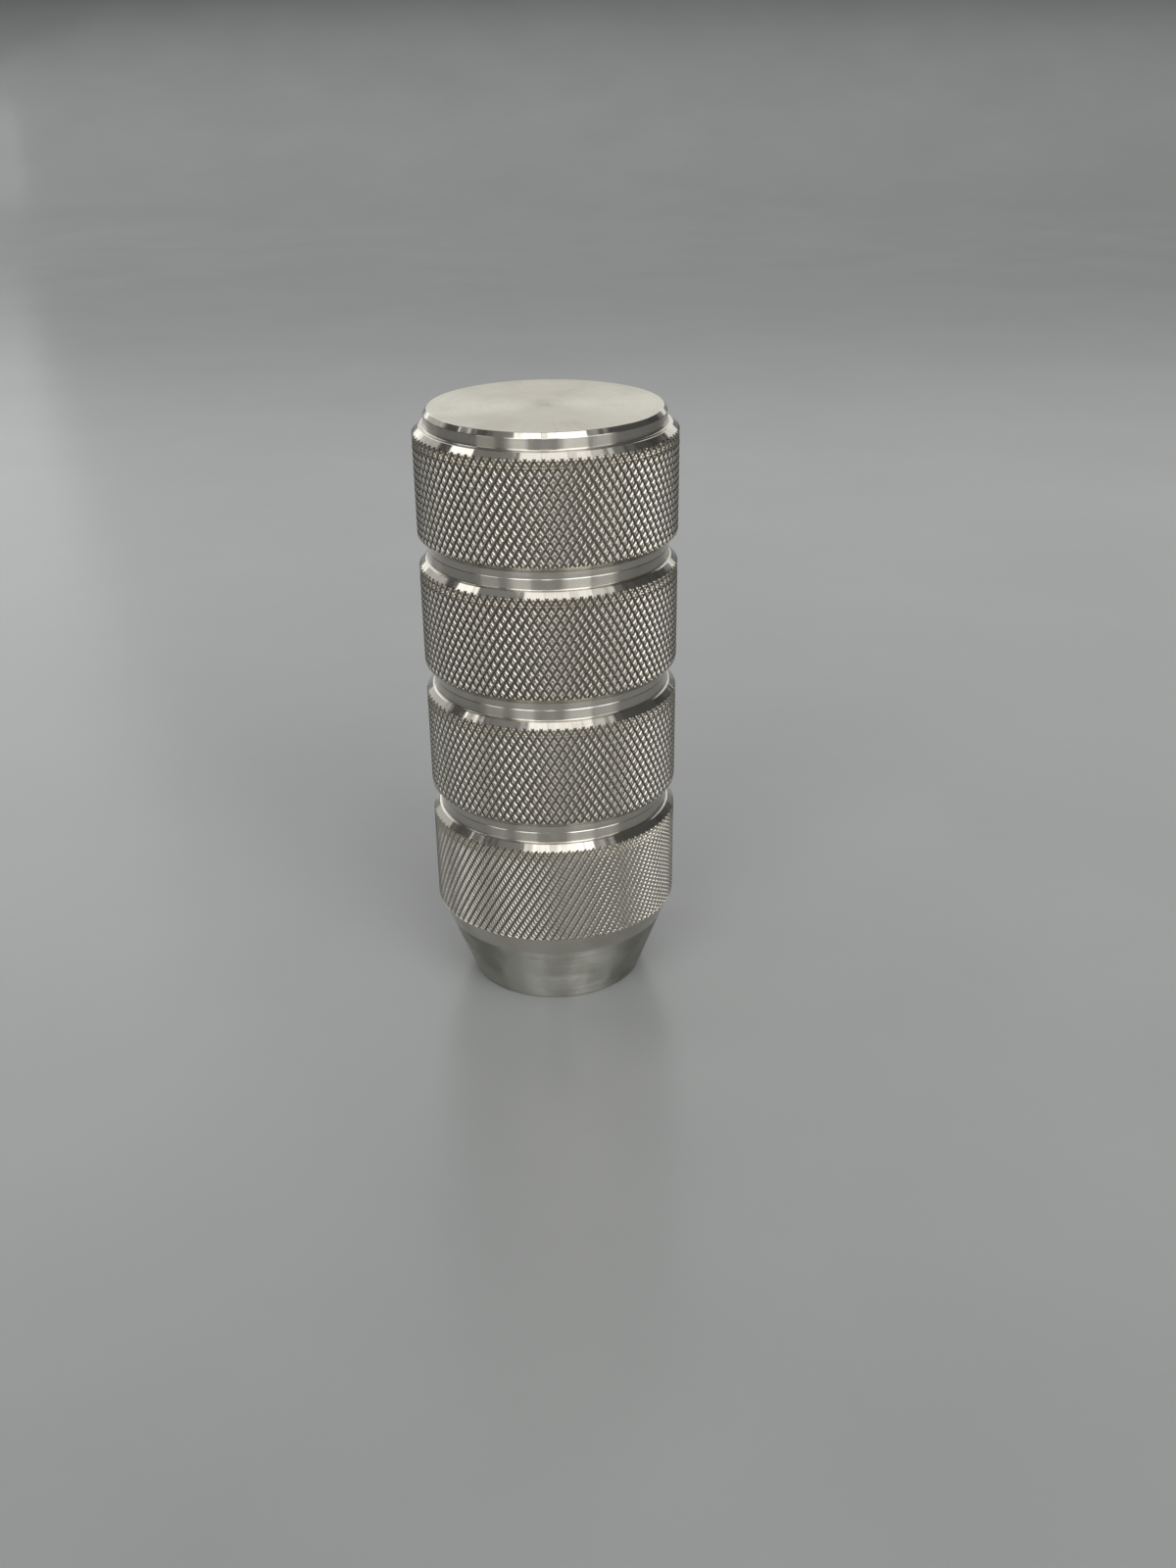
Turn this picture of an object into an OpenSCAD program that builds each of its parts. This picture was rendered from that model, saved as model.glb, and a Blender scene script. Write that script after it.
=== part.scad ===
// Knurled lever knob, turned in one piece from aluminium bar.
// It stands on its foot. The axis is Z, and the origin is the centre of the foot's flat face.
// The bands are drawn at the crest diameter of their knurl. The thread is drawn as its tapped hole's bore.

/* [Overall] */
// Height from the foot to the top face
height = 94; // [80:0.5:160]
// Diameter over the knurl at the shoulder of the top band
body_d = 40; // [32:0.5:60]
// How much narrower the body is at its lower end, on diameter
body_taper = 1.2; // [0:0.1:4]

/* [Bands and grooves] */
// Number of knurled bands
band_count = 4; // [1:1:6]
// Width of a groove, from the crest of one band to the next
groove_w = 5.1; // [4:0.1:7]
// Depth of a groove below the knurl's crests
groove_depth = 1.45; // [1.3:0.05:3]
// Size of the 45 degree chamfer on each end of a band
band_chamfer = 1.05; // [0.4:0.05:1.25]
// Radius that the parting tool leaves in the corners of a groove
groove_corner_r = 0.25; // [0.1:0.05:0.4]

/* [Cap] */
// Height of the cap, from the top band's shoulder to the top face
cap_h = 2.5; // [2:0.1:6]
// How far the cap's side lies inside the knurl's crests
cap_step = 1.8; // [1.7:0.05:4]
// Width of the bevel around the top face
cap_bevel_w = 0.55; // [0.2:0.05:1.5]
// Height of the bevel around the top face
cap_bevel_h = 0.75; // [0.2:0.05:1.5]

/* [Foot] */
// Height of the lowest band's lower end above the foot's face
foot_h = 14; // [11.5:0.5:24]
// Height of the edge between the foot's long taper and its shoulder
neck_h = 10.6; // [7:0.1:11]
// How far that edge lies inside the knurl's crests
neck_step = 1.6; // [1:0.1:2.4]
// Diameter of the foot
foot_d = 27.7; // [18:0.1:28]
// Width of the broken edge around the foot's face
foot_break = 0.3; // [0.1:0.05:0.6]

/* [Tapped hole] */
// Nominal diameter of the thread
thread_d = 12; // [8:1:14]
// Pitch of the thread
thread_pitch = 1.75; // [1:0.25:2]
// Depth of the hole to the end of its full diameter
hole_depth = 32; // [16:1:45]
// How much wider than the thread the countersink is, on diameter
countersink_extra = 1; // [0.5:0.1:2]
// Included angle of the drill's point
drill_angle = 118; // [90:1:140]

/* [Hidden] */
$fn = 180;
overlap = 1;  // how far a cut runs past the face that it opens

shoulder_z = height - cap_h;              // where the top band's chamfer starts
body_top_z = shoulder_z - band_chamfer;   // highest crest of the knurl
band_h = (body_top_z - foot_h - (band_count - 1) * groove_w) / band_count;
band_pitch = band_h + groove_w;

// Radius over the crests at height z
function body_r(z) = (body_d - body_taper * (body_top_z - z) / (body_top_z - foot_h)) / 2;

cap_r = body_d / 2 - cap_step;
neck_r = body_r(foot_h) - neck_step;
foot_r = foot_d / 2;

// Bore left by the tapping drill: M12 x 1.75 gives 10.2 mm
tap_r = round((thread_d - thread_pitch) * 10 - 0.5) / 20;
countersink_r = (thread_d + countersink_extra) / 2;
countersink_h = countersink_r - tap_r;
drill_point_h = tap_r / tan(drill_angle / 2);

// Half section of the turned blank, before the grooves: foot, tapered body and shoulder
module blank_section() {
    polygon([
        [0, 0],
        [foot_r - foot_break, 0],
        [foot_r, foot_break],
        [neck_r, neck_h],
        [body_r(foot_h), foot_h],
        [body_r(body_top_z), body_top_z],
        [body_r(body_top_z) - band_chamfer, shoulder_z],
        [0, shoulder_z]
    ]);
}

// Half section of the cap, with its bevelled edge. It runs down into the body.
module cap_section() {
    polygon([
        [0, shoulder_z - overlap],
        [cap_r, shoulder_z - overlap],
        [cap_r, height - cap_bevel_h],
        [cap_r - cap_bevel_w, height],
        [0, height]
    ]);
}

// The small round that the tool's nose leaves where the cap meets the shoulder
module cap_root_section() {
    difference() {
        translate([cap_r - overlap, shoulder_z - overlap])
            square([overlap + groove_corner_r, overlap + groove_corner_r]);
        translate([cap_r + groove_corner_r, shoulder_z + groove_corner_r])
            circle(r = groove_corner_r);
    }
}

// What the parting tool removes for one groove whose lower crest is at height z
module groove_section(z) {
    floor_r = body_r(z + groove_w / 2) - groove_depth;
    floor_low = z + band_chamfer;
    floor_high = z + groove_w - band_chamfer;
    outside = body_d / 2 + overlap;
    // The channel itself, with round inner corners
    translate([floor_r + groove_corner_r, floor_low])
        square([outside - floor_r - groove_corner_r, floor_high - floor_low]);
    translate([floor_r, floor_low + groove_corner_r])
        square([outside - floor_r, floor_high - floor_low - 2 * groove_corner_r]);
    for (corner_z = [floor_low + groove_corner_r, floor_high - groove_corner_r])
        translate([floor_r + groove_corner_r, corner_z])
            circle(r = groove_corner_r);
    // The 45 degree chamfers on the two bands beside it
    polygon([
        [body_r(z) - band_chamfer, floor_low],
        [body_r(z) + overlap, z - overlap],
        [body_r(z + groove_w) + overlap, z + groove_w + overlap],
        [body_r(z + groove_w) - band_chamfer, floor_high]
    ]);
}

// Countersink, tapping bore and drill point, on the axis from the foot's face
module tapped_hole() {
    translate([0, 0, -overlap])
        cylinder(r = tap_r, h = hole_depth + overlap);
    translate([0, 0, -overlap])
        cylinder(r1 = countersink_r + overlap, r2 = tap_r, h = countersink_h + overlap);
    translate([0, 0, hole_depth])
        cylinder(r1 = tap_r, r2 = 0, h = drill_point_h);
}

module knob() {
    color("silver")
        difference() {
            rotate_extrude()
                difference() {
                    union() {
                        blank_section();
                        cap_section();
                        cap_root_section();
                    }
                    for (i = [1 : 1 : band_count - 1])
                        groove_section(body_top_z - i * band_pitch);
                }
            tapped_hole();
        }
}

knob();
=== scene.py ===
import math

import bmesh
import bpy
from mathutils import Matrix, Vector, noise


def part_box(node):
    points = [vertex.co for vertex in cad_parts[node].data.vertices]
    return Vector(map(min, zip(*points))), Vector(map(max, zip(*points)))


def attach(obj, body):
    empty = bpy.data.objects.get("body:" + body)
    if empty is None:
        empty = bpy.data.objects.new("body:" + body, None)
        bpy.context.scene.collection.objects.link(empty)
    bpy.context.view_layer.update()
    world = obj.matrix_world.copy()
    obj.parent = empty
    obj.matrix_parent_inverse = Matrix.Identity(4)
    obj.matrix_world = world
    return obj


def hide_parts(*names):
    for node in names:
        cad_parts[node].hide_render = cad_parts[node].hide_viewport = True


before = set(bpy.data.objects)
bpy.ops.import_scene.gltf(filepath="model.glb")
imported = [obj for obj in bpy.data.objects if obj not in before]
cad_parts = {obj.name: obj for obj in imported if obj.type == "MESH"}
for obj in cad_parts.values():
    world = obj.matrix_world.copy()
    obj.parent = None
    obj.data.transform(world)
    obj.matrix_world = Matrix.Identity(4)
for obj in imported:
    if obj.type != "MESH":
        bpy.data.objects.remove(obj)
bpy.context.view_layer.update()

# ---------------------------------------------------------------------------------------------
# Bar. The knob is one piece of round aluminium bar, and a tool in a lathe cut all of its surfaces.
# The tool's feed left fine lines round the axis, its chatter left faint flats, and a film of oil
# stained the metal in clouds.
# ---------------------------------------------------------------------------------------------
MM = 0.001
knob_low, knob_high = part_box("knob")
HEIGHT = (knob_high.z - knob_low.z) / MM
BODY_R = (knob_high.x - knob_low.x) / 2 / MM

# Places on a colour Mix node: its share, its two colours, and the colour that comes out
SHARE, FIRST, SECOND, MIXED = 0, 6, 7, 2

# How far the slant that counts the feed's lines leans, and how soon each pattern changes
PROFILE_LEAN = 0.6
MARK_CHANGES_PER_RADIAN = 1.5
FLATS_PER_RADIAN = 9
STREAKS_PER_RADIAN = 40
STAIN_CLOUD_MM = 7

# Values of the noise at which staining and painted sheen start and are full, and the metal is smoothest
# and roughest
STAIN_AND_SHEEN_FROM, STAIN_AND_SHEEN_TO = 0.42, 0.72
SMOOTHEST_AT, ROUGHEST_AT = 0.3, 0.7
ROUGHNESS_SPREAD = 0.15
QUARTER_TURN = 0.25


def linear(hex_colour):
    """The linear colour of an sRGB hex value."""
    parts = [int(hex_colour[k:k + 2], 16) / 255 for k in (1, 3, 5)]
    return (*(c / 12.92 if c <= 0.04045 else ((c + 0.055) / 1.055) ** 2.4 for c in parts), 1)


def add_node(tree, kind, inputs, **settings):
    """Adds a shader node with its settings; an input is a value or the output that feeds it."""
    made = tree.nodes.new("ShaderNode" + kind)
    for name, value in settings.items():
        setattr(made, name, value)
    for socket, value in inputs.items():
        if isinstance(value, bpy.types.NodeSocket):
            tree.links.new(value, made.inputs[socket])
        else:
            made.inputs[socket].default_value = value
    return made


def new_finish(name):
    """An empty material, and its tree."""
    made = bpy.data.materials.new(name)
    made.use_nodes = True
    made.node_tree.nodes.clear()
    return made, made.node_tree


def lathe_place(tree):
    """Where a point lies on the lathe: its place, direction from the axis, radius and height."""
    place = add_node(tree, "TexCoord", {}).outputs["Object"]
    parts = add_node(tree, "SeparateXYZ", {"Vector": place})
    across = add_node(tree, "CombineXYZ", {"X": parts.outputs["X"], "Y": parts.outputs["Y"]})
    radius = add_node(tree, "VectorMath", {0: across.outputs["Vector"]}, operation="LENGTH")
    around = add_node(tree, "VectorMath", {0: across.outputs["Vector"]}, operation="NORMALIZE")
    return place, around.outputs["Vector"], radius.outputs["Value"], parts.outputs["Z"]


def turning_marks(tree, around, radius, height, feed):
    """Noise drawn out round the axis, in lines that lie feed mm apart.

    The lines are counted along a slant that leans over the profile, so no surface misses them.
    """
    along = add_node(tree, "Math", {0: radius, 1: -PROFILE_LEAN, 2: height}, operation="MULTIPLY_ADD")
    spaced = add_node(tree, "Math", {0: along.outputs["Value"], 1: feed * MM}, operation="DIVIDE")
    lift = add_node(tree, "CombineXYZ", {"Z": spaced.outputs["Value"]})
    where = add_node(tree, "VectorMath", {
        0: around, 1: (MARK_CHANGES_PER_RADIAN,) * 3, 2: lift.outputs["Vector"],
    }, operation="MULTIPLY_ADD")
    marks = add_node(tree, "TexNoise", {"Vector": where.outputs["Vector"], "Scale": 1, "Detail": 2})
    return marks.outputs["Fac"]


def turned_finish(name, colour, stain_and_sheen, stain_and_sheen_share, fan, roughness, anisotropic, feed, mark, chatter):
    """Aluminium as a turning tool leaves it, with lengths in millimetres.

    Marks that lie a feed apart are mark high. Chatter lays flats across them, each a few degrees
    of a turn wide and chatter high. Darker colour covers up to a given share of the colour: oil
    stains that lie in clouds, and painted sheen in streaks, which the fan setting draws out from
    the axis. The highlight spreads a quarter turn from the marks, along the profile.
    """
    made, tree = new_finish(name)
    place, around, radius, height = lathe_place(tree)
    marks = turning_marks(tree, around, radius, height, feed)
    flats = add_node(tree, "TexNoise", {"Vector": around, "Scale": FLATS_PER_RADIAN, "Detail": 1})
    clouds = add_node(tree, "TexNoise", {
        "Vector": place, "Scale": 1 / (STAIN_CLOUD_MM * MM), "Detail": 3,
    })
    streaks = add_node(tree, "TexNoise", {"Vector": around, "Scale": STREAKS_PER_RADIAN, "Detail": 2})
    # Oil stains in clouds, and painted sheen in streaks drawn out from the axis
    patches = add_node(tree, "Math", {
        0: streaks.outputs["Fac"], 1: fan, 2: clouds.outputs["Fac"],
    }, operation="MULTIPLY_ADD")
    share = add_node(tree, "MapRange", {
        "Value": patches.outputs["Value"],
        "From Min": STAIN_AND_SHEEN_FROM + fan / 2, "From Max": STAIN_AND_SHEEN_TO + fan / 2, "To Max": stain_and_sheen_share,
    }, interpolation_type="SMOOTHSTEP")
    tint = add_node(tree, "Mix", {
        SHARE: share.outputs["Result"], FIRST: linear(colour), SECOND: linear(stain_and_sheen),
    }, data_type="RGBA")
    rough = add_node(tree, "MapRange", {
        "Value": marks, "From Min": SMOOTHEST_AT, "From Max": ROUGHEST_AT,
        "To Min": roughness * (1 - ROUGHNESS_SPREAD), "To Max": roughness * (1 + ROUGHNESS_SPREAD),
    })
    waves = add_node(tree, "Math", {0: flats.outputs["Fac"], 1: chatter}, operation="MULTIPLY")
    relief = add_node(tree, "Math", {
        0: marks, 1: mark, 2: waves.outputs["Value"],
    }, operation="MULTIPLY_ADD")
    bump = add_node(tree, "Bump", {"Height": relief.outputs["Value"], "Distance": MM})
    axis = add_node(tree, "Tangent", {}, direction_type="RADIAL", axis="Z")
    shader = add_node(tree, "BsdfPrincipled", {
        "Base Color": tint.outputs[MIXED],
        "Metallic": 1.0,
        "Roughness": rough.outputs["Result"],
        "Anisotropic": anisotropic,
        "Anisotropic Rotation": QUARTER_TURN,
        "Tangent": axis.outputs["Tangent"],
        "Normal": bump.outputs["Normal"],
    })
    add_node(tree, "OutputMaterial", {"Surface": shader.outputs["BSDF"]})
    return made


# Bright turned aluminium. The fine feed lines spread each highlight along the profile and keep it
# sharp round the axis. The feed of 0.15 mm is too fine to show, so it is drawn at 0.4 mm.
turned = turned_finish(
    "turned_aluminium", colour="#CDC9BF", stain_and_sheen="#A7A195", stain_and_sheen_share=0.4, fan=0.1,
    roughness=0.23, anisotropic=0.9, feed=0.4, mark=0.002, chatter=0.05,
)

# ---------------------------------------------------------------------------------------------
# Knurl. Two wheels, one of each hand, pressed V grooves into the bar and left raised diamonds.
# The metal rose along each groove, so a diamond's top is dished between its rims.
# Near a band's upper end the wheels tracked twice, and there the diamonds are quartered.
# ---------------------------------------------------------------------------------------------
CAP_H = 2.5
BAND_CHAMFER = 1.05
FOOT_H = 14.0
BODY_TAPER = 1.2
BAND_COUNT = 4
GROOVE_W = 5.1
TEETH = 96
KNURL_HELIX = math.radians(31.5)

# How much a flank rises for each millimetre across its groove
KNURL_FLANK = 1.0

# Rows of diamonds drawn past each end of a band, which its chamfers cut off
SPARE_ROWS = 3

SHOULDER_Z = HEIGHT - CAP_H
BODY_TOP = SHOULDER_Z - BAND_CHAMFER
BAND_H = (BODY_TOP - FOOT_H - (BAND_COUNT - 1) * GROOVE_W) / BAND_COUNT
TOOTH = 2 * math.pi / TEETH
HALF = TOOTH / 2

# What is smaller than this counts as nothing
NEAR = 3e-5

# Painted shade in the knurl's hollows: the knurl's grain, and how far that blurs the shade's edge
KNURL_GRAIN_MM = 0.35
KNURL_GRAIN_H = 0.01
KNURL_GRAIN_STRENGTH = 0.5
SHADE_REACH = 0.1

# Its browner patches, the noise at which they start and are full, and how brown they get
BROWN_PATCH_MM = 9
BROWN_IN_SHADE = "#6B5C4A"
BROWN_FROM, BROWN_TO = 0.45, 0.75
BROWN_SHARE = 0.4

# The knob repeats once for each tooth of its knurl, so most of it is drawn on one tooth's sector.
# Its corners are in a lathe's measures: Vector((angle, height, radius)), in radians and millimetres.
sector = []


def put(polygon, finish, into=sector):
    """Keeps a polygon and the finish that its surface has."""
    if len(polygon) > 2:
        into.append((polygon, finish))


def clip(polygon, side):
    """The part of a flat polygon on which side(point) isn't negative."""
    kept = []
    for here, there in zip(polygon, polygon[1:] + polygon[:1]):
        a, b = side(here), side(there)
        if a > -NEAR:
            kept.append(here)
        if min(a, b) < -NEAR and max(a, b) > NEAR:
            kept.append(here.lerp(there, a / (a - b)))
    return kept


def edges_on(polygon, side):
    """A polygon's edges on which side(point) is nothing."""
    return [
        (here, there) for here, there in zip(polygon, polygon[1:] + polygon[:1])
        if len(polygon) > 2 and abs(side(here)) < NEAR and abs(side(there)) < NEAR
    ]


def crest_r(z):
    """Radius over the knurl's crests at a height."""
    return BODY_R - BODY_TAPER / 2 * (BODY_TOP - z) / (BODY_TOP - FOOT_H)


def below_crest(tree, radius, height):
    """How far a point lies below the knurl's crests."""
    slope = BODY_TAPER / 2 / (BODY_TOP - FOOT_H)
    crest = add_node(tree, "Math", {0: height, 1: slope, 2: crest_r(0) * MM}, operation="MULTIPLY_ADD")
    depth = add_node(tree, "Math", {0: crest.outputs["Value"], 1: radius}, operation="SUBTRACT")
    return depth.outputs["Value"]


def knurled_finish(name, rim, deep, start, end, rim_rough, deep_rough):
    """Aluminium pressed by a knurling wheel: bright to start mm below the crests, and darkened with
    painted shade from end mm, in the deep colour. The knurl's grain blurs where each begins."""
    made, tree = new_finish(name)
    place, _, radius, height = lathe_place(tree)
    depth = below_crest(tree, radius, height)
    grain = add_node(tree, "TexNoise", {
        "Vector": place, "Scale": 1 / (KNURL_GRAIN_MM * MM), "Detail": 2,
    })
    patches = add_node(tree, "TexNoise", {
        "Vector": place, "Scale": 1 / (BROWN_PATCH_MM * MM), "Detail": 2,
    })
    uneven = add_node(tree, "Math", {
        0: grain.outputs["Fac"], 1: SHADE_REACH * MM, 2: depth,
    }, operation="MULTIPLY_ADD")
    down = add_node(tree, "MapRange", {
        "Value": uneven.outputs["Value"],
        "From Min": (start + SHADE_REACH / 2) * MM, "From Max": (end + SHADE_REACH / 2) * MM,
    }, interpolation_type="SMOOTHSTEP")
    brown = add_node(tree, "MapRange", {
        "Value": patches.outputs["Fac"],
        "From Min": BROWN_FROM, "From Max": BROWN_TO, "To Max": BROWN_SHARE,
    }, interpolation_type="SMOOTHSTEP")
    # Painted shade, darker deeper below the crests, with browner patches in it
    painted_shade = add_node(tree, "Mix", {
        SHARE: brown.outputs["Result"], FIRST: linear(deep), SECOND: linear(BROWN_IN_SHADE),
    }, data_type="RGBA")
    tint = add_node(tree, "Mix", {
        SHARE: down.outputs["Result"], FIRST: linear(rim), SECOND: painted_shade.outputs[MIXED],
    }, data_type="RGBA")
    rough = add_node(tree, "MapRange", {
        "Value": down.outputs["Result"], "To Min": rim_rough, "To Max": deep_rough,
    })
    bump = add_node(tree, "Bump", {
        "Height": grain.outputs["Fac"],
        "Distance": KNURL_GRAIN_H * MM,
        "Strength": KNURL_GRAIN_STRENGTH,
    })
    shader = add_node(tree, "BsdfPrincipled", {
        "Base Color": tint.outputs[MIXED],
        "Metallic": 1.0,
        "Roughness": rough.outputs["Result"],
        "Normal": bump.outputs["Normal"],
    })
    add_node(tree, "OutputMaterial", {"Surface": shader.outputs["BSDF"]})
    return made


# Aluminium raised beside the wheels' tracks. It is rubbed by use, so each diamond's rim sparkles,
# and its dish is darkened toward the centre with painted shade. The grain of 0.1 mm is too fine to
# show, so it is drawn at 0.35 mm.
raised = knurled_finish(
    "knurl_raised_aluminium", rim="#D9D5CB", deep="#A09A8E", start=0.06, end=0.2,
    rim_rough=0.2, deep_rough=0.3,
)

# Aluminium pressed smooth by the wheels' teeth. Its flanks shine near the rims and are darkened
# with painted shade toward the bottom, which draws the dark lines between the diamonds.
pressed = knurled_finish(
    "knurl_pressed_aluminium", rim="#CFCBC1", deep="#6F695F", start=0.11, end=0.32,
    rim_rough=0.2, deep_rough=0.35,
)

# Aluminium pressed twice over. The second track tore it, so it is a little browner and duller
# than the rest, and painted shade darkens it further toward the bottom.
doubled = knurled_finish(
    "knurl_doubled_aluminium", rim="#C9C3B6", deep="#6A6257", start=0.1, end=0.36,
    rim_rough=0.22, deep_rough=0.4,
)


def dished(rim, share, wall_depth, centre_depth):
    """Faces of the hollow inside a land's rim: a steep wall along each side, a gentler slope up to
    each corner, and a shallow floor that takes up a share of the land."""
    down = Vector((0, 0, 1))
    centre = sum(rim, Vector((0, 0, 0))) / len(rim)
    following = rim[1:] + rim[:1]
    foot = [centre.lerp((p + q) / 2, share) - down * wall_depth for p, q in zip(rim, following)]
    faces = []
    for n, corner in enumerate(rim):
        faces.append([corner, following[n], foot[n]])
        faces.append([corner, foot[n], foot[n - 1]])
        faces.append([foot[n - 1], foot[n], centre - down * centre_depth])
    return faces


def land(a0, a1, b0, b1, depths, dish, rise, quarters_above, flank_finish):
    """Faces and finishes of the land between grooves a0 and a1 of one hand and b0 and b1 of the other.

    Each corner is (a, b, height over the crests). depths are the four grooves' own, rise is a
    flank's height per groove spacing, and dish is what dished() takes, or nothing for a flat top.
    A long edge that meets quarters above has a corner at its middle too.
    """
    planes = (
        lambda p: -depths[0] + rise * (p.x - a0),
        lambda p: -depths[1] + rise * (a1 - p.x),
        lambda p: -depths[2] + rise * (p.y - b0),
        lambda p: -depths[3] + rise * (b1 - p.y),
        lambda p: 0.0,
    )
    top = planes[-1]
    corners = [(a0, b0), (a1, b0), (a1, b1), (a0, b1)]
    if quarters_above and b1 == 1 and a1 - a0 == 1:
        corners.insert(3, (0.5, 1))
    if quarters_above and a0 == 0 and b1 - b0 == 1:
        corners.append((0, 0.5))
    outline = [Vector((a, b, 0)) for a, b in corners]
    faces = []
    for plane in planes:
        part = outline
        for other in planes:
            if other is not plane and part:
                part = clip(part, lambda p: other(p) - plane(p))
        if len(part) < 3:
            continue
        part = [Vector((p.x, p.y, plane(p))) for p in part]
        if plane is not top:
            faces.append((part, flank_finish))
            continue
        if dish:
            faces += [(face, raised) for face in dished(part, *dish)]
        else:
            faces.append((part, raised))
    return faces


def knurl(z_low, z_high, lands_at, sides):
    """One tooth's sector of a knurled band, kept where both sides are positive.

    lands_at(height) lists the lands of a diamond there. Gives each side's cut as edges.
    """
    middle_r = crest_r((z_low + z_high) / 2)
    rise = KNURL_FLANK * TOOTH * middle_r * math.cos(KNURL_HELIX)
    half_row = TOOTH * middle_r / math.tan(KNURL_HELIX) / 2
    cuts = ([], [])
    for row in range(-SPARE_ROWS, math.ceil((z_high - z_low) / half_row) + SPARE_ROWS):
        column = row % 2
        lands = lands_at(z_high - row * half_row)
        quarters_above = len(lands) < 4 and len(lands_at(z_high - (row - 1) * half_row)) == 4
        flank_finish = doubled if len(lands) == 4 else pressed
        for a0, a1, b0, b1, depths, dish in lands:
            for face, finish in land(
                    a0, a1, b0, b1, depths, dish, rise, quarters_above, flank_finish):
                laid = []
                for p in face:
                    z = z_high + (p.y - p.x - row) * half_row
                    laid.append(Vector(((column + p.x + p.y) * HALF, z, crest_r(z) + p.z)))
                for side in sides:
                    laid = clip(laid, side) if laid else laid
                put(laid, finish)
                for side, cut in zip(sides, cuts):
                    cut.extend(edges_on(laid, side))
    return cuts


def diamond(depth, dish):
    """One whole diamond between four grooves."""
    return [(0, 1, 0, 1, (depth,) * 4, dish)]


def quartered(depth, other_depth, second):
    """A diamond that a second, shallower track has cut into four. The hands have their own depths."""
    return [
        (a, a + 0.5, b, b + 0.5,
         (*((depth, second) if a == 0 else (second, depth)),
          *((other_depth, second) if b == 0 else (second, other_depth))), ())
        for a in (0, 0.5) for b in (0, 0.5)
    ]


def halved(depth, second):
    """A diamond that one hand's second track has cut in two."""
    return [(0, 1, b, b + 0.5, (depth, depth, second, second), ()) for b in (0, 0.5)]


# How far below a band's upper end the second track shows
QUARTERED_H = 2.0

# A dish is the share of the land that its floor takes, and its depths at the walls and the centre.
DEEP_DISH = (0.55, 0.1, 0.12)
DISH = (0.55, 0.09, 0.11)
SHALLOW_DISH = (0.6, 0.08, 0.1)

# Each band from the top, with its usual diamonds and those near its upper end. Depths of grooves
# are in millimetres.
BAND_KNURLS = (
    (diamond(0.36, DEEP_DISH), quartered(0.36, 0.36, 0.2)),
    (diamond(0.36, DISH), quartered(0.36, 0.36, 0.2)),
    (diamond(0.33, SHALLOW_DISH), quartered(0.33, 0.33, 0.19)),
    (halved(0.3, 0.22), quartered(0.3, 0.22, 0.17)),
)

# ---------------------------------------------------------------------------------------------
# Bands and grooves. A parting tool cut the grooves, with a small round in each corner and a faint
# step where its two passes met. A 45 degree chamfer was turned on each band's ends after knurling.
# ---------------------------------------------------------------------------------------------
GROOVE_DEPTH = 1.45
CORNER_R = 0.25
FLAT_MARGIN = 0.03

# The step between a groove's two passes, the height that it blends over, its place as a share of
# the floor's height, and how far the floor leans out above it
PASS_STEP = 0.04
PASS_BLEND = 0.12
PASS_AT = 0.55
PASS_LEAN = 0.16

# The broken edge under the last band, and how far a rubbed edge reaches to each side
END_BREAK = 0.3
RUBBED = 0.05

# Angles nearer than this are the same, and they are rounded to so many places to drop doubles
ANGLE_NEAR = 1e-6
ANGLE_PLACES = 8

# Burnished aluminium, on edges that hands have rubbed smooth. It catches a thin bright line. What is
# left of the feed's lines is drawn 0.2 mm apart.
burnished = turned_finish(
    "burnished_edge_aluminium", colour="#DAD7CE", stain_and_sheen="#A7A195", stain_and_sheen_share=0.8, fan=0.3,
    roughness=0.18, anisotropic=0.2, feed=0.2, mark=0.001, chatter=0.05,
)

# Aluminium cut by a keen chamfering tool. Nearly a mirror round the axis, so each lamp's edge is
# seen in it, broken by the faint flats of the tool's chatter. The feed of 0.1 mm is drawn at 0.4 mm.
chamfered = turned_finish(
    "chamfer_cut_aluminium", colour="#D6D2C8", stain_and_sheen="#B3AC9F", stain_and_sheen_share=0.4, fan=0.2,
    roughness=0.14, anisotropic=0.85, feed=0.4, mark=0.001, chatter=0.13,
)


def turn(profile, finish):
    """Turns a profile of (radius, height) corners into faces, one to a tooth."""
    for (r0, z0), (r1, z1) in zip(profile, profile[1:]):
        put([Vector(p) for p in ((0, z0, r0), (TOOTH, z0, r0), (TOOTH, z1, r1), (0, z1, r1))], finish)


def arc(centre_r, centre_z, radius, start, end, steps=4):
    """Corners along a round of the profile, from one angle to another in degrees."""
    turns = [math.radians(start + (end - start) * k / steps) for k in range(steps + 1)]
    return [(centre_r + radius * math.cos(t), centre_z + radius * math.sin(t)) for t in turns]


def cone_from_cut(edges, z, r, finish, into=sector):
    """A cone between the ragged edge of a cut and the ring at z and r. Gives the ring's angles.

    An edge that crosses into the next tooth gets a corner on the ring there.
    """
    angles = []
    for p, q in edges:
        crosses = min(p.x, q.x) + NEAR < TOOTH < max(p.x, q.x) - NEAR
        ring = [q.x, TOOTH, p.x] if crosses else [q.x, p.x]
        put([p, q, *(Vector((x, z, r)) for x in ring)], finish, into)
        angles += ring
    return angles


def ring_face(angles, start, end, z, r, z_other, r_other, finish, others=None, into=sector):
    """One face between the corners at angles, from start to end, and a plainer ring's corners."""
    between = sorted({round(x, ANGLE_PLACES) for x in angles if start + ANGLE_NEAR < x < end - ANGLE_NEAR})
    near = [Vector((x, z, r)) for x in [start, *between, end]]
    far = [Vector((x, z_other, r_other)) for x in (others or (start, end))]
    put(near + far[::-1], finish, into)


def chamfer_above(z_end):
    """Which side of the chamfer over a band's upper end a point is on."""
    return lambda p: crest_r(z_end) - (p.y - z_end) - p.z


def chamfer_below(z_end):
    """Which side of the chamfer under a band's lower end a point is on."""
    return lambda p: crest_r(z_end) - (z_end - p.y) - p.z


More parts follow.
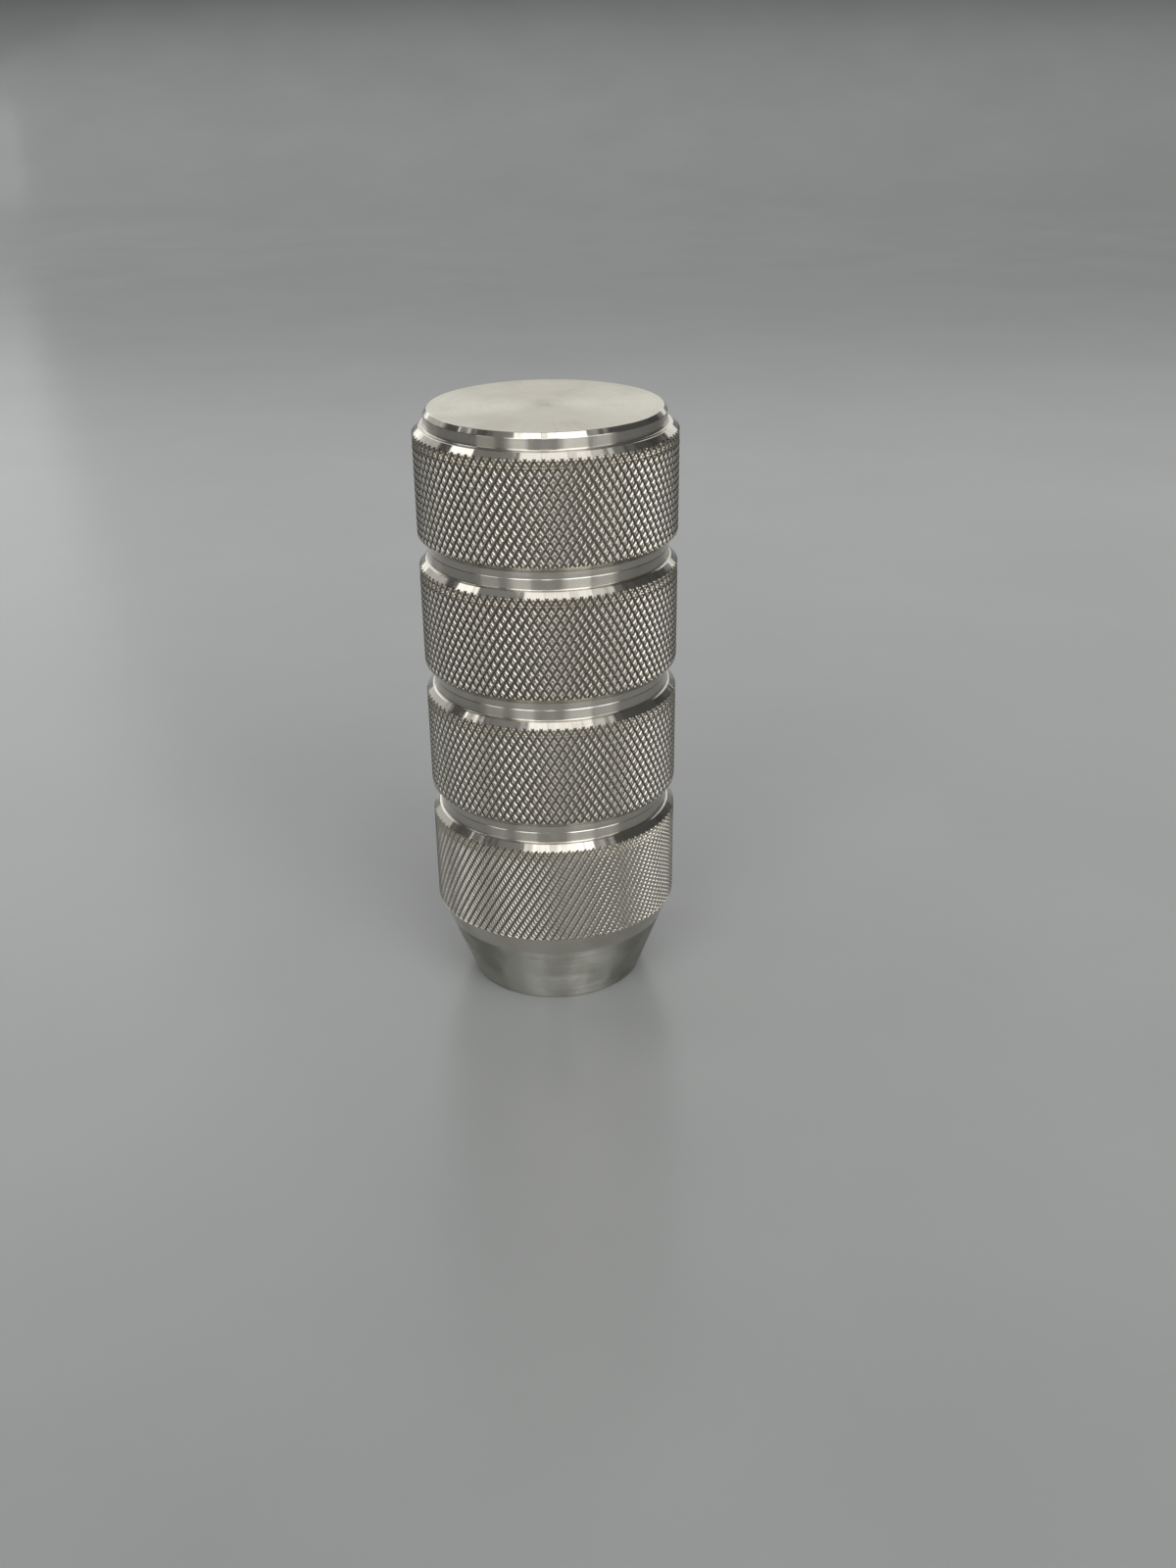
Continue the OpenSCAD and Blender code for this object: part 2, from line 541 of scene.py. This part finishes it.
def within_tooth(angles):
    """The same angles, each brought into the first tooth."""
    return [x - TOOTH if x > TOOTH + ANGLE_NEAR else x for x in angles]


def wall(angles, z, into_band, r_out, r_in):
    """The flat ring between a chamfer's end and the round at its foot. Its outer edge is rubbed."""
    ring_face(within_tooth(angles), 0, TOOTH, z + into_band * RUBBED, r_out + RUBBED,
              z, r_out - RUBBED, burnished)
    turn([(r_out - RUBBED, z), (r_in, z)], turned)


def groove(z, upper_angles, lower_angles):
    """The groove whose lower band ends at z. The angles are those of the chamfers' corners."""
    low, high = z + BAND_CHAMFER, z + GROOVE_W - BAND_CHAMFER
    floor_r = crest_r(z + GROOVE_W / 2) - GROOVE_DEPTH
    corner_r = floor_r + CORNER_R
    wall(lower_angles, low, -1, crest_r(z) - BAND_CHAMFER, corner_r + PASS_STEP)
    wall(upper_angles, high, 1, crest_r(z + GROOVE_W) - BAND_CHAMFER, corner_r + PASS_LEAN)
    step_z = low + (high - low) * PASS_AT
    turn(arc(corner_r + PASS_STEP, low + CORNER_R, CORNER_R, 270, 180)
         + [(floor_r + PASS_STEP, low + CORNER_R + FLAT_MARGIN), (floor_r + PASS_STEP, step_z)], turned)
    turn([(floor_r + PASS_STEP, step_z), (floor_r, step_z + PASS_BLEND)], burnished)
    turn([(floor_r, step_z + PASS_BLEND), (floor_r + PASS_LEAN, high - CORNER_R - FLAT_MARGIN)]
         + arc(corner_r + PASS_LEAN, high - CORNER_R, CORNER_R, 180, 90), turned)


# From the top band down. A groove is made once the chamfers above and below it are cut.
upper_angles = None
for number, (normal, near_top) in enumerate(BAND_KNURLS):
    band_top = BODY_TOP - number * (BAND_H + GROOVE_W)
    band_low = band_top - BAND_H
    last = number == BAND_COUNT - 1
    top_cut, low_cut = knurl(
        band_low, band_top,
        lambda z: near_top if z > band_top - QUARTERED_H else normal,
        (chamfer_above(band_top), chamfer_below(band_low)),
    )
    top_cone = BAND_CHAMFER - RUBBED
    top_angles = cone_from_cut(top_cut, band_top + top_cone, crest_r(band_top) - top_cone, chamfered)
    if number:
        groove(band_top, upper_angles, top_angles)
    else:
        shoulder_angles = top_angles
    low_cone = END_BREAK if last else BAND_CHAMFER - RUBBED
    upper_angles = cone_from_cut(low_cut, band_low - low_cone, crest_r(band_low) - low_cone, chamfered)

# ---------------------------------------------------------------------------------------------
# Cap. A plain disc left proud of the top band, bevelled at its edge and faced off across the top.
# Its edges were broken with a fine file, which leaves a bright line round them. The tool left a
# shallow mark at the centre of the face.
# ---------------------------------------------------------------------------------------------
CAP_STEP = 1.8
CAP_BEVEL_W = 0.55
CAP_BEVEL_H = 0.75
CENTRE_MARK_R = 0.4
CENTRE_MARK_DEPTH = 0.04
CAP_R = BODY_R - CAP_STEP
FACE_R = CAP_R - CAP_BEVEL_W
FACE_RING_R = FACE_R / 2

# Faced aluminium. The feed's rings draw a soft fan of light out from the centre, and painted
# sheen in streaks out from the axis adds to it. The feed of 0.1 mm is too fine to show, so it is
# drawn at 0.15 mm.
faced = turned_finish(
    "faced_aluminium", colour="#CEC9BA", stain_and_sheen="#A19C8E", stain_and_sheen_share=0.3, fan=0.6,
    roughness=0.33, anisotropic=0.6, feed=0.15, mark=0.001, chatter=0.05,
)

wall(shoulder_angles, SHOULDER_Z, -1, crest_r(BODY_TOP) - BAND_CHAMFER, CAP_R + CORNER_R)
turn(arc(CAP_R + CORNER_R, SHOULDER_Z + CORNER_R, CORNER_R, 270, 180)
     + [(CAP_R, SHOULDER_Z + CORNER_R + FLAT_MARGIN), (CAP_R, HEIGHT - CAP_BEVEL_H - RUBBED)], turned)
bevel_low, bevel_high = Vector((CAP_R, HEIGHT - CAP_BEVEL_H)), Vector((FACE_R, HEIGHT))
rubbed_share = RUBBED / (bevel_high - bevel_low).length
bevel_start = bevel_low.lerp(bevel_high, rubbed_share)
bevel_end = bevel_high.lerp(bevel_low, rubbed_share)
turn([(CAP_R, HEIGHT - CAP_BEVEL_H - RUBBED), bevel_start], burnished)
turn([bevel_start, bevel_end], chamfered)
turn([bevel_end, (FACE_R - RUBBED, HEIGHT)], burnished)
turn([(FACE_R - RUBBED, HEIGHT), (FACE_RING_R, HEIGHT), (CENTRE_MARK_R, HEIGHT),
      (0, HEIGHT - CENTRE_MARK_DEPTH)], faced)

# ---------------------------------------------------------------------------------------------
# Foot. A long taper of the same bar, from the shoulder under the last band down to a flat face that
# seats on the lever. It was turned with a coarser feed than the rest, and left so.
# ---------------------------------------------------------------------------------------------
FOOT_R = 13.85
FOOT_BREAK = 0.3
NECK_H = 10.6
NECK_STEP = 1.6
NECK_R = crest_r(FOOT_H) - NECK_STEP

# Rough turned aluminium. A coarser feed spreads light far along the taper, so it looks dull and
# shows only upright sheens. The feed of 0.3 mm is drawn at 0.55 mm, so that it shows.
rough_turned = turned_finish(
    "rough_turned_aluminium", colour="#C2C2BA", stain_and_sheen="#938F84", stain_and_sheen_share=0.6, fan=0.1,
    roughness=0.48, anisotropic=0.9, feed=0.55, mark=0.008, chatter=0.05,
)

ring_face(within_tooth(upper_angles), 0, TOOTH, FOOT_H - END_BREAK, crest_r(FOOT_H) - END_BREAK,
          NECK_H, NECK_R, turned)
turn([(NECK_R, NECK_H), (FOOT_R, FOOT_BREAK)], rough_turned)
turn([(FOOT_R, FOOT_BREAK), (FOOT_R - FOOT_BREAK, 0)], turned)

# ---------------------------------------------------------------------------------------------
# Tapped hole. It was drilled up the axis from the foot, countersunk, and tapped M12 x 1.75. The end
# of a lever screws into it, and holds the knob by its own aluminium thread.
# ---------------------------------------------------------------------------------------------
THREAD_R = 6.0
THREAD_PITCH = 1.75
DRILL_ANGLE = 118
TAP_DRILL_R = 5.1
HOLE_DEPTH = 32.0
TAPPED_DEPTH = 28.0
COUNTERSINK_R = 6.5
COUNTERSINK_H = COUNTERSINK_R - TAP_DRILL_R
DRILL_POINT_H = TAP_DRILL_R / math.tan(math.radians(DRILL_ANGLE / 2))
LEAD_IN = 0.7

# One thread's outline: shares of the pitch, and shares of the thread's depth
THREAD_PROFILE = ((0, 0), (0.26, 0), (0.56, 1), (0.7, 1), (1, 0))

# Tapped aluminium. The tap tears a little and leaves cutting oil, so it is grey and softly bright.
# The tears are 0.3 mm apart.
tapped = turned_finish(
    "tapped_aluminium", colour="#BDBAB0", stain_and_sheen="#8A857A", stain_and_sheen_share=0.6, fan=0,
    roughness=0.4, anisotropic=0.3, feed=0.3, mark=0.006, chatter=0,
)


def thread_ends(corner):
    """Thins the thread away at its first and last turn."""
    room = min((corner.y - COUNTERSINK_H) / LEAD_IN, TAPPED_DEPTH - corner.y) / THREAD_PITCH
    share = min(1, max(0, room))
    return Vector((corner.x, corner.y, TAP_DRILL_R + (corner.z - TAP_DRILL_R) * share))


# The thread climbs as it goes round, so it is drawn for the whole turn and not for one tooth
whole_turn = []
thread_sides = (lambda p: p.y - COUNTERSINK_H, lambda p: TAPPED_DEPTH - p.y)
thread_cuts = ([], [])
turns = math.ceil((TAPPED_DEPTH - COUNTERSINK_H) / THREAD_PITCH)
for tooth in range(TEETH):
    for number in range(-1, turns + 1):
        for (f0, d0), (f1, d1) in zip(THREAD_PROFILE, THREAD_PROFILE[1:]):
            face = [
                Vector((
                    (tooth + step) * TOOTH,
                    COUNTERSINK_H + THREAD_PITCH * (number + (tooth + step) / TEETH + f),
                    TAP_DRILL_R + (THREAD_R - TAP_DRILL_R) * d,
                ))
                for f, d, step in ((f0, d0, 0), (f0, d0, 1), (f1, d1, 1), (f1, d1, 0))
            ]
            for side in thread_sides:
                face = clip(face, side) if face else face
            face = [thread_ends(p) for p in face]
            put(face, tapped, whole_turn)
            for side, cut in zip(thread_sides, thread_cuts):
                cut.extend(edges_on(face, side))

rim_angles = cone_from_cut(thread_cuts[0], 0, COUNTERSINK_R, tapped, whole_turn)
root_angles = [p.x for edge in thread_cuts[1] for p in edge]
for tooth in range(TEETH):
    start, end = tooth * TOOTH, (tooth + 1) * TOOTH
    ring_face(rim_angles, start, end, 0, COUNTERSINK_R, 0, FOOT_R - FOOT_BREAK, faced,
              (start, end), whole_turn)
    ring_face(root_angles, start, end, TAPPED_DEPTH, TAP_DRILL_R, HOLE_DEPTH, TAP_DRILL_R, tapped,
              (start, end), whole_turn)
turn([(TAP_DRILL_R, HOLE_DEPTH), (0, HOLE_DEPTH + DRILL_POINT_H)], tapped)

# ---------------------------------------------------------------------------------------------
# The knob's skin. The knob is one solid piece, so the sector is copied round the axis and welded,
# with the thread, into one closed surface. The knurl's corners then sink by a hair, each by its own
# amount, as pressed metal does.
# ---------------------------------------------------------------------------------------------
WELD = 2e-6
SLIVER = WELD / 4

# A steeper fold than this is shaded as an edge, and so is a join of two finishes
SHARP = math.radians(28)

# The knurl's corners sink by up to SINK_MOST, by an amount that changes over a short way
SINK_MOST = 0.03
SINK_CHANGES_OVER = 0.8

finishes = [turned, burnished, raised, pressed, doubled, chamfered, faced, rough_turned, tapped]
points, faces, indices = [], [], []
for tooth in range(TEETH):
    for polygon, finish in sector:
        faces.append(range(len(points), len(points) + len(polygon)))
        indices.append(finishes.index(finish))
        for p in polygon:
            angle = p.x + tooth * TOOTH
            points.append((p.z * math.cos(angle) * MM, p.z * math.sin(angle) * MM, p.y * MM))
for polygon, finish in whole_turn:
    faces.append(range(len(points), len(points) + len(polygon)))
    indices.append(finishes.index(finish))
    for p in polygon:
        points.append((p.z * math.cos(p.x) * MM, p.z * math.sin(p.x) * MM, p.y * MM))

knob_mesh = bpy.data.meshes.new("knurled_knob")
knob_mesh.from_pydata(points, [], faces)
knob_mesh.polygons.foreach_set("material_index", indices)
for finish in finishes:
    knob_mesh.materials.append(finish)
skin = bmesh.new()
skin.from_mesh(knob_mesh)
bmesh.ops.remove_doubles(skin, verts=skin.verts, dist=WELD)
bmesh.ops.dissolve_degenerate(skin, dist=SLIVER, edges=skin.edges)
bmesh.ops.recalc_face_normals(skin, faces=skin.faces)
flanks = {finishes.index(pressed), finishes.index(doubled)}
rolled = flanks | {finishes.index(raised)}
for corner in skin.verts:
    if all(face.material_index in rolled for face in corner.link_faces):
        sunk = SINK_MOST * (noise.noise(corner.co / (SINK_CHANGES_OVER * MM)) + 1) / 2
        outward = Vector((corner.co.x, corner.co.y, 0)).normalized()
        corner.co -= outward * sunk * MM
for face in skin.faces:
    face.smooth = True
for edge in skin.edges:
    pair = {face.material_index for face in edge.link_faces}
    fold = edge.calc_face_angle_signed(0)
    if not pair <= flanks:
        fold = abs(fold)
    edge.smooth = (len(pair) == 1 or pair == flanks) and fold < SHARP
skin.to_mesh(knob_mesh)
skin.free()
knob = bpy.data.objects.new("knurled_knob", knob_mesh)
bpy.context.scene.collection.objects.link(knob)
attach(knob, "root")
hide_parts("knob")

# ---------------------------------------------------------------------------------------------
# Floor. A broad pale board that the knob stands on. It is bent so that it runs up behind the knob
# in one curve, and it was rolled with a satin paint.
# ---------------------------------------------------------------------------------------------
# The board's own sizes, in metres
SWEEP_HALF_W = 2.5
SWEEP_FRONT = -2.5
SWEEP_BACK = 0.9
SWEEP_R = 0.7
SWEEP_H = 2.2
SWEEP_STEPS = 24

PAINT_GRAIN_MM = 0.6
PAINT_GRAIN_H = 0.01
PAINT_CLOUD_MM = 60

sweep_profile = [(SWEEP_FRONT, 0)] + [
    (SWEEP_BACK + SWEEP_R * math.sin(t), SWEEP_R - SWEEP_R * math.cos(t))
    for t in (math.radians(90) * k / SWEEP_STEPS for k in range(SWEEP_STEPS + 1))
] + [(SWEEP_BACK + SWEEP_R, SWEEP_H)]
sweep_mesh = bpy.data.meshes.new("studio_sweep")
sweep_mesh.from_pydata(
    [(x, y, z) for y, z in sweep_profile for x in (-SWEEP_HALF_W, SWEEP_HALF_W)], [],
    [(2 * k, 2 * k + 1, 2 * k + 3, 2 * k + 2) for k in range(len(sweep_profile) - 1)],
)
sweep_mesh.shade_smooth()
sweep = bpy.data.objects.new("studio_sweep", sweep_mesh)
bpy.context.scene.collection.objects.link(sweep)

# Satin painted board. Its fine rolled grain softens the knob's reflection, and faint clouds in
# the paint keep it from one flat colour.
board, tree = new_finish("satin_painted_board")
place = add_node(tree, "TexCoord", {}).outputs["Object"]
grain = add_node(tree, "TexNoise", {"Vector": place, "Scale": 1 / (PAINT_GRAIN_MM * MM), "Detail": 1})
clouds = add_node(tree, "TexNoise", {"Vector": place, "Scale": 1 / (PAINT_CLOUD_MM * MM), "Detail": 4})
tint = add_node(tree, "Mix", {
    SHARE: clouds.outputs["Fac"], FIRST: linear("#A3A5A4"), SECOND: linear("#AFB1B0"),
}, data_type="RGBA")
bump = add_node(tree, "Bump", {"Height": grain.outputs["Fac"], "Distance": PAINT_GRAIN_H * MM})
shader = add_node(tree, "BsdfPrincipled", {
    "Base Color": tint.outputs[MIXED], "Roughness": 0.24, "Normal": bump.outputs["Normal"],
})
add_node(tree, "OutputMaterial", {"Surface": shader.outputs["BSDF"]})
sweep_mesh.materials.append(board)

# ---------------------------------------------------------------------------------------------
# Lamps. Softboxes of white fabric stand round the knob, and bright metal shows each as a pale panel.
# A broad dim one hangs over it, and a dim white world fills what lies between them.
# ---------------------------------------------------------------------------------------------
WORLD_STRENGTH = 0.08

world = bpy.data.worlds.new("studio")
bpy.context.scene.world = world
world.use_nodes = True
world.node_tree.nodes["Background"].inputs["Color"].default_value = linear("#FFFFFF")
world.node_tree.nodes["Background"].inputs["Strength"].default_value = WORLD_STRENGTH


def softbox(name, azimuth, elevation, width, height, brightness, distance=1.2, shift=0.0):
    """A soft lamp that faces the knob, then slides sideways by shift.

    Its angles are in degrees, and its lengths in metres. brightness is what its face shows.
    """
    data = bpy.data.lights.new(name, "AREA")
    data.shape = "RECTANGLE"
    data.size, data.size_y = width, height
    data.energy = brightness * math.pi * width * height
    lamp = bpy.data.objects.new(name, data)
    a, e = math.radians(azimuth), math.radians(elevation)
    away = Vector((math.sin(a) * math.cos(e), -math.cos(a) * math.cos(e), math.sin(e)))
    aside = Vector((math.cos(a), math.sin(a), 0))
    lamp.location = Vector((0, 0, HEIGHT * MM / 2)) + away * distance + aside * shift
    lamp.rotation_mode = "QUATERNION"
    lamp.rotation_quaternion = away.to_track_quat("Z", "Y")
    lamp.visible_camera = False
    bpy.context.scene.collection.objects.link(lamp)


softbox("front_right_softbox", 27, 30, 0.6, 1.35, 2.1)
softbox("front_softbox", 0, 43, 0.4, 0.4, 0.5)
softbox("front_low_softbox", 0, 22, 0.26, 0.4, 1.4)
softbox("front_left_softbox", -24, 30, 0.46, 1.35, 1.7)
softbox("low_right_softbox", 55, 13, 0.44, 0.5, 1.5)
softbox("low_left_softbox", -56, 12, 0.44, 0.4, 1.0)
softbox("overhead_left_panel", 0, 68, 0.31, 0.6, 1.05, shift=-0.19)
softbox("overhead_middle_panel", 0, 68, 0.27, 0.6, 1.05, shift=0.11)
softbox("overhead_right_panel", 0, 68, 0.25, 0.6, 0.75, shift=0.39)
softbox("left_softbox", -105, 47, 0.34, 0.35, 1.8)
softbox("right_softbox", 74, 62, 0.3, 0.35, 0.6)
softbox("back_left_softbox", -140, 20, 0.9, 0.7, 0.5)
softbox("back_softbox", 180, 28, 1.7, 0.9, 0.8)
softbox("ceiling", 0, 90, 2.6, 2.6, 0.17, distance=1.6)

# ---------------------------------------------------------------------------------------------
# Camera. It is held by hand in front of the knob and a little above it, and tipped down at its foot.
# The hand turned its upright by a hair.
# ---------------------------------------------------------------------------------------------
CAMERA_AT = Vector((5.6, -261.9, 152.4)) * MM
CAMERA_DOWN = math.radians(24.694)
CAMERA_ROLL = -0.0134
LENS_MM = 40.64
SENSOR_MM = 36
NEAREST_M = 0.01

camera_data = bpy.data.cameras.new("camera")
camera_data.lens = LENS_MM
camera_data.sensor_width = SENSOR_MM
camera_data.clip_start = NEAREST_M
camera = bpy.data.objects.new("camera", camera_data)
camera.matrix_world = (
    Matrix.Translation(CAMERA_AT)
    @ Matrix.Rotation(math.pi / 2 - CAMERA_DOWN, 4, "X")
    @ Matrix.Rotation(CAMERA_ROLL, 4, "Z")
)
bpy.context.scene.collection.objects.link(camera)
bpy.context.scene.camera = camera
bpy.context.scene.view_settings.view_transform = "Standard"
